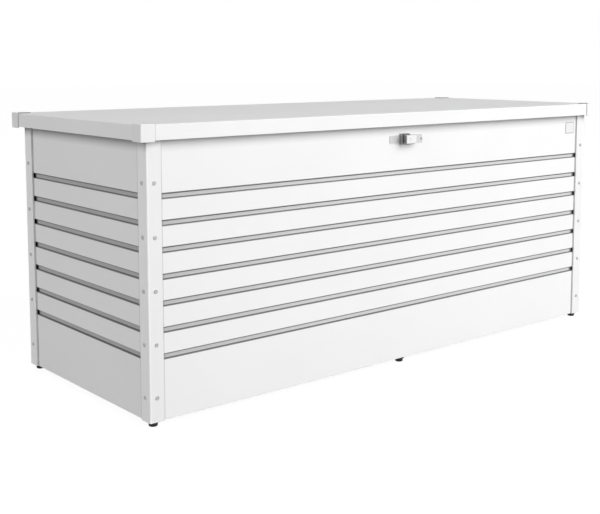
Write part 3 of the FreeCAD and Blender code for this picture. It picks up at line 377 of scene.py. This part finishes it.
LEVER_END_START = 0.5
LEVER_END_FULL = 0.8
LEVER_END_SHADE = 0.75
LEVER_SLOPE_START = 0.04
LEVER_SLOPE_FULL = 0.11
LEVER_SLOPE_SHADE = 0.2
DIMPLE_PLACE = 0.0515
DIMPLE_RADIUS = 0.0034
DIMPLE_OUTER_RADIUS = 0.00442
DIMPLE_SHADE = 0.7
COLLAR_EDGE = 0.002
COLLAR_EDGE_FULL = 0.25
COLLAR_EDGE_SHADE = 0.6
lock_x = (plug_low.x + plug_high.x) / 2
lock_z = (plug_low.z + plug_high.z) / 2


def lever_painted_reflection_and_shade(finish):
    """Painted dark reflection on the lever's ends and on the slope of its face towards the tip, and
    painted shade in the dimple near the tip.
    """
    end = finish.normal_x.size().between(LEVER_END_START, LEVER_END_FULL, 0.0, LEVER_END_SHADE)
    slope = finish.normal_x.between(LEVER_SLOPE_START, LEVER_SLOPE_FULL, 0.0, LEVER_SLOPE_SHADE)
    across = finish.x - (lock_x + DIMPLE_PLACE)
    up = finish.z - lock_z
    from_dimple = (across * across + up * up) ** 0.5
    dimple = from_dimple.between(DIMPLE_RADIUS, DIMPLE_OUTER_RADIUS, DIMPLE_SHADE, 0.0)
    return end.largest(slope).largest(dimple)


def collar_painted_edge_shade(finish):
    """Painted shade on the collar's edges."""
    return finish.edges(COLLAR_EDGE).between(0.0, COLLAR_EDGE_FULL, 0.0, COLLAR_EDGE_SHADE)


# White powder coat

COAT_CLOUD_SCALE = 3.0
COAT_CLOUD_RANGE = (0.3, 0.7)
COAT_DARKEST = 0.975
COAT_ROUGHNESS = (0.44, 0.5)
COAT_GLOSS = 0.3
COAT_PEEL_SCALE = 900.0
COAT_PEEL_SHARE = 0.4
COAT_WAVE_SCALE = 140.0
COAT_WAVE_SHARE = 0.6
COAT_BUMP = 0.00005


def powder_coat(name, white, shade=None):
    """White powder coat with an orange peel surface, darker where the shade says."""
    finish = Finish(name)
    cloud = finish.noise(COAT_CLOUD_SCALE, detail=3.0)
    colour = finish.blend(cloud.between(*COAT_CLOUD_RANGE), grey(white * COAT_DARKEST), grey(white))
    if shade:
        colour = finish.blend(shade(finish), colour, BLACK)
    roughness = cloud.between(*COAT_CLOUD_RANGE, *COAT_ROUGHNESS)
    finish.set(Base_Color=colour, Roughness=roughness, Specular_IOR_Level=COAT_GLOSS)
    peel = finish.noise(COAT_PEEL_SCALE, detail=1.0)
    waves = finish.noise(COAT_WAVE_SCALE, detail=1.0)
    finish.bump(peel * COAT_PEEL_SHARE + waves * COAT_WAVE_SHARE, COAT_BUMP)
    return finish.material


# Zinc

SPANGLE_SCALE = 90.0
SPANGLE_SHARE = 0.6
ZINC_CLOUD_SCALE = 12.0
ZINC_CLOUD_SHARE = 0.4
ZINC_DARKEST = 0.82
ZINC_BRIGHTEST = 1.08
ZINC_METALLIC = 0.9
ZINC_TONE_RANGE = (0.2, 0.8)
ZINC_ROUGHNESS = (0.42, 0.58)
ZINC_BUMP = 0.00008


def galvanised(name, base):
    """Hot dip zinc: grey spangle with a dull shine."""
    finish = Finish(name)
    cells = finish.node("TexVoronoi", "Color", None, {"Vector": finish.place, "Scale": SPANGLE_SCALE})
    spangle = finish.node("SeparateColor", "Red", None, {"Color": cells})
    cloud = finish.noise(ZINC_CLOUD_SCALE, detail=3.0)
    tone = spangle * SPANGLE_SHARE + cloud * ZINC_CLOUD_SHARE
    finish.set(
        Base_Color=finish.blend(tone, grey(base * ZINC_DARKEST), grey(base * ZINC_BRIGHTEST)),
        Metallic=ZINC_METALLIC,
        Roughness=tone.between(*ZINC_TONE_RANGE, *ZINC_ROUGHNESS),
    )
    finish.bump(cloud, ZINC_BUMP)
    return finish.material


# Plated, ground and cast metal

GRAIN_SHARE = 0.7
SMUDGE_SCALE = 40.0
SMUDGE_SHARE = 0.3
STEEL_DARKEST = 0.9
STEEL_BRIGHTEST = 1.05
STEEL_TONE_RANGE = (0.3, 0.7)
STEEL_SMOOTHER = 0.04
STEEL_ROUGHER = 0.06
STEEL_BUMP = 0.00002
ALONG_X = (0.05, 1.0, 1.0)
ALONG_Z = (1.0, 1.0, 0.05)


def plated_steel(name, base, roughness, grain_scale, stretch, metallic=1.0, shade=None):
    """Plated or ground steel with a fine grain along one direction."""
    finish = Finish(name)
    grain = finish.noise(grain_scale, detail=3.0, roughness=0.6, stretch=stretch)
    smudge = finish.noise(SMUDGE_SCALE, detail=2.0)
    tone = grain * GRAIN_SHARE + smudge * SMUDGE_SHARE
    colour = finish.blend(tone, grey(base * STEEL_DARKEST), grey(base * STEEL_BRIGHTEST))
    if shade:
        colour = finish.blend(shade(finish), colour, BLACK)
    finish.set(
        Base_Color=colour,
        Metallic=metallic,
        Roughness=tone.between(*STEEL_TONE_RANGE, roughness - STEEL_SMOOTHER, roughness + STEEL_ROUGHER),
    )
    finish.bump(grain, STEEL_BUMP)
    return finish.material


# Black plastic and rubber

DUST_SCALE = 120.0
DUST_RANGE = (0.4, 0.8)
DUST_PALER = 1.9
DUST_ROUGHER = 0.12
MOULD_SCALE = 700.0
MOULD_BUMP = 0.00006


def moulded_black(name, base, roughness):
    """Black plastic or rubber with a fine moulded texture, greyer where dust sits."""
    finish = Finish(name)
    dust = finish.noise(DUST_SCALE, detail=4.0, roughness=0.6).between(*DUST_RANGE)
    finish.set(
        Base_Color=finish.blend(dust, grey(base), grey(base * DUST_PALER)),
        Roughness=dust.between(0.0, 1.0, roughness, roughness + DUST_ROUGHER),
    )
    finish.bump(finish.noise(MOULD_SCALE, detail=2.0), MOULD_BUMP)
    return finish.material


# The finish of every CAD node

WHITE = 0.88
# The posts' paint is paler than the walls', which leaves room for the painted highlight at their bends
POST_WHITE = WHITE * 1.09
CAP_WHITE = WHITE * 0.97

# The walls, posts, lid, caps, collar and lever get painted shade, and the posts a painted highlight at
# their bends
finishes = {
    "wall_paint": powder_coat("wall_paint", WHITE, wall_painted_shade),
    "post_paint": powder_coat("post_paint", POST_WHITE, post_painted_highlight_and_shade),
    "lid_paint": powder_coat("lid_paint", WHITE, lid_seam_and_painted_shade),
    "cap_paint": powder_coat("cap_paint", CAP_WHITE, cap_painted_shade),
    "inner_paint": powder_coat("inner_paint", WHITE),
    "zinc_sheet": galvanised("zinc_sheet", base=0.52),
    "zinc_steel": plated_steel(
        "zinc_steel", base=0.5, roughness=0.4, grain_scale=300.0, stretch=ALONG_X
    ),
    "screw_steel": plated_steel(
        "screw_steel", base=0.66, roughness=0.4, grain_scale=400.0, stretch=ALONG_Z, metallic=0.45
    ),
    "seal_rubber": moulded_black("seal_rubber", base=0.018, roughness=0.6),
    "foot_plastic": moulded_black("foot_plastic", base=0.02, roughness=0.45),
    "strut_black": moulded_black("strut_black", base=0.015, roughness=0.25),
    "strut_chrome": plated_steel(
        "strut_chrome", base=0.62, roughness=0.12, grain_scale=500.0, stretch=ALONG_X
    ),
    "socket_plastic": moulded_black("socket_plastic", base=0.02, roughness=0.4),
    "escutcheon_metal": plated_steel(
        "escutcheon_metal", base=0.72, roughness=0.45, grain_scale=250.0, stretch=ALONG_X, metallic=0.3
    ),
    "collar_metal": plated_steel(
        "collar_metal", base=0.36, roughness=0.3, grain_scale=300.0, stretch=ALONG_Z, metallic=0.9,
        shade=collar_painted_edge_shade,
    ),
    "handle_metal": plated_steel(
        "handle_metal", base=0.92, roughness=0.35, grain_scale=500.0, stretch=ALONG_Z, metallic=0.25,
        shade=lever_painted_reflection_and_shade,
    ),
    "plug_metal": plated_steel(
        "plug_metal", base=0.88, roughness=0.3, grain_scale=500.0, stretch=ALONG_Z, metallic=0.3
    ),
}
slots = {part["node"]: part["material_slot"] for part in frame["record"]["subparts"]}
for name, node in frame["nodes"].items():
    node.data.materials.clear()
    node.data.materials.append(finishes[slots[name]])


# Blank badge plate at the right end of the front panel, with rounded corners

BADGE_FROM_POST = Vector((1.857, 0.0, 0.7249))
BADGE_WIDTH = 0.052
BADGE_HEIGHT = 0.0425
BADGE_THICKNESS = 0.0012
BADGE_CORNER = 0.004
BADGE_SOFT_EDGE = 0.0003
BADGE_WHITE = WHITE * 0.9
BADGE_BORDER = 0.0022
BADGE_BORDER_END = 0.00242
BADGE_BORDER_SHADE = 0.5
badge_centre = post_low + BADGE_FROM_POST


def badge_shade(finish):
    """A grey border printed round the bare plate."""
    to_side = BADGE_WIDTH / 2 - (finish.x - badge_centre.x).size()
    to_top = BADGE_HEIGHT / 2 - (finish.z - badge_centre.z).size()
    from_edge = to_side.smallest(to_top)
    return from_edge.between(BADGE_BORDER, BADGE_BORDER_END, BADGE_BORDER_SHADE, 0.0)


def begin():
    """Leaves edit mode and deselects everything."""
    if bpy.context.object and bpy.context.object.mode != "OBJECT":
        bpy.ops.object.mode_set(mode="OBJECT")
    bpy.ops.object.select_all(action="DESELECT")


def select_edges_through(piece):
    """In edit mode, selects the edges that run from a plate's face to its back."""
    bpy.ops.mesh.select_all(action="DESELECT")
    mesh = bmesh.from_edit_mesh(piece.data)
    for edge in mesh.edges:
        start, end = (vertex.co for vertex in edge.verts)
        edge.select_set(abs(start.y - end.y) > BADGE_THICKNESS / 2)
    bmesh.update_edit_mesh(piece.data)


begin()
bpy.ops.mesh.primitive_cube_add(
    size=1.0,
    location=(badge_centre.x, panel_front_y - BADGE_THICKNESS / 2, badge_centre.z),
    scale=(BADGE_WIDTH, BADGE_THICKNESS, BADGE_HEIGHT),
)
badge = bpy.context.object
badge.name = "badge_plate"
bpy.ops.object.transform_apply(location=True, rotation=True, scale=True)
bpy.ops.object.mode_set(mode="EDIT")
select_edges_through(badge)
bpy.ops.mesh.bevel(offset=BADGE_CORNER, segments=5, affect="EDGES")
bpy.ops.object.mode_set(mode="OBJECT")
soft_edge = badge.modifiers.new("soft_edge", "BEVEL")
soft_edge.width = BADGE_SOFT_EDGE
soft_edge.segments = 2
bpy.ops.object.modifier_apply(modifier=soft_edge.name)
badge.data.materials.append(powder_coat("badge_print", BADGE_WHITE, badge_shade))
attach(badge, "cabinet")


# Floor and world: white to the camera, pale in reflections and dim on the object

FLOOR_SIZE = 60.0
FLOOR_GREY = 0.12
FLOOR_SEEN = 0.94
AMBIENT = 0.1
REFLECTED = 0.5

begin()
bpy.ops.mesh.primitive_plane_add(size=FLOOR_SIZE, location=(0, 0, 0))
floor = bpy.context.object
floor.name = "floor"
floor_finish = Finish("floor_finish")
seen = floor_finish.node("LightPath", "Is Camera Ray")
mirrored = floor_finish.node("LightPath", "Is Glossy Ray")
floor_finish.set(
    Base_Color=grey(FLOOR_GREY),
    Roughness=1.0,
    Specular_IOR_Level=0.0,
    Emission_Color=grey(1.0),
    Emission_Strength=seen * FLOOR_SEEN + mirrored * (REFLECTED - FLOOR_GREY),
)
floor.data.materials.append(floor_finish.material)

world = bpy.data.worlds.new("studio")
world.use_nodes = True
background = world.node_tree.nodes["Background"]
seen = make_node(world.node_tree, "LightPath", "Is Camera Ray")
mirrored = make_node(world.node_tree, "LightPath", "Is Glossy Ray")
strength = seen * (1.0 - AMBIENT) + mirrored * (REFLECTED - AMBIENT) + AMBIENT
fill(world.node_tree, background.inputs["Color"], grey(1.0))
fill(world.node_tree, background.inputs["Strength"], strength)
bpy.context.scene.world = world


# Lamps

LAMP_DISTANCE = 9.0
object_centre = (Vector(cad_box[0]) + Vector(cad_box[1])) / 2


def soft_light(name, kind, azimuth, elevation):
    """A lamp facing the object. Azimuth 0 shines along +Y, and 90 along -X, from above the ground."""
    turn, lift = math.radians(azimuth), math.radians(elevation)
    back = Vector((math.sin(turn) * math.cos(lift), -math.cos(turn) * math.cos(lift), math.sin(lift)))
    lamp = bpy.data.objects.new(name, bpy.data.lights.new(name, kind))
    lamp.location = object_centre + back * LAMP_DISTANCE
    lamp.rotation_mode = "QUATERNION"
    lamp.rotation_quaternion = back.to_track_quat("Z", "Y")
    lamp.visible_glossy = False
    lamp.visible_camera = False
    bpy.context.scene.collection.objects.link(lamp)
    return lamp.data


def far_light(name, strength, azimuth, elevation, softness):
    """A lamp so far off that it lights all of the object alike."""
    lamp = soft_light(name, "SUN", azimuth, elevation)
    lamp.energy = strength
    lamp.angle = math.radians(softness)


def near_light(name, strength, azimuth, elevation, softness):
    """A round lamp near the object, whose light falls off slowly across it."""
    radius = LAMP_DISTANCE * math.tan(math.radians(softness / 2))
    lamp = soft_light(name, "AREA", azimuth, elevation)
    lamp.shape = "DISK"
    lamp.size = 2 * radius
    lamp.energy = strength * math.pi * (LAMP_DISTANCE ** 2 + radius ** 2)


near_light("key", strength=3.8, azimuth=19, elevation=16, softness=66)
far_light("left_fill", strength=2.3, azimuth=-100, elevation=14, softness=70)
far_light("back_fill", strength=1.5, azimuth=160, elevation=9, softness=60)
